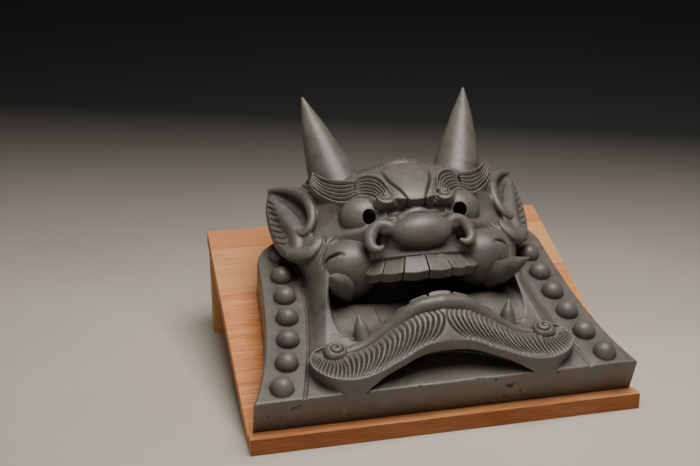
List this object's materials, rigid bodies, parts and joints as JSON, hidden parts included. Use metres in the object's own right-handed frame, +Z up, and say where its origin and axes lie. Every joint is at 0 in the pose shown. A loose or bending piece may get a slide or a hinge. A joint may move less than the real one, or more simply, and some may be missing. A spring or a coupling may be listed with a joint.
{
  "type": "onigawara roof tile",
  "caption": "Ridge-end roof tile with a horned demon's face, bossed edges and a curled beard, in smoked clay, lying on a sloped wooden display stand.",
  "frame": {"origin": "middle of the whole part's footprint, on the ground", "axes": "+Z up; +X to the viewer's right, along the stand's front lip; +Y from the lip to the raised back edge"},
  "size_m": [0.3064, 0.2424, 0.214],
  "materials": {
    "smoked_clay": "satin",
    "stand_wood": "planed, clear"
  },
  "bodies": {
    "root": {"tile": "smoked_clay", "stand_board": "stand_wood", "stand_lip": "stand_wood", "stand_support": "stand_wood"}
  },
  "joints": []
}
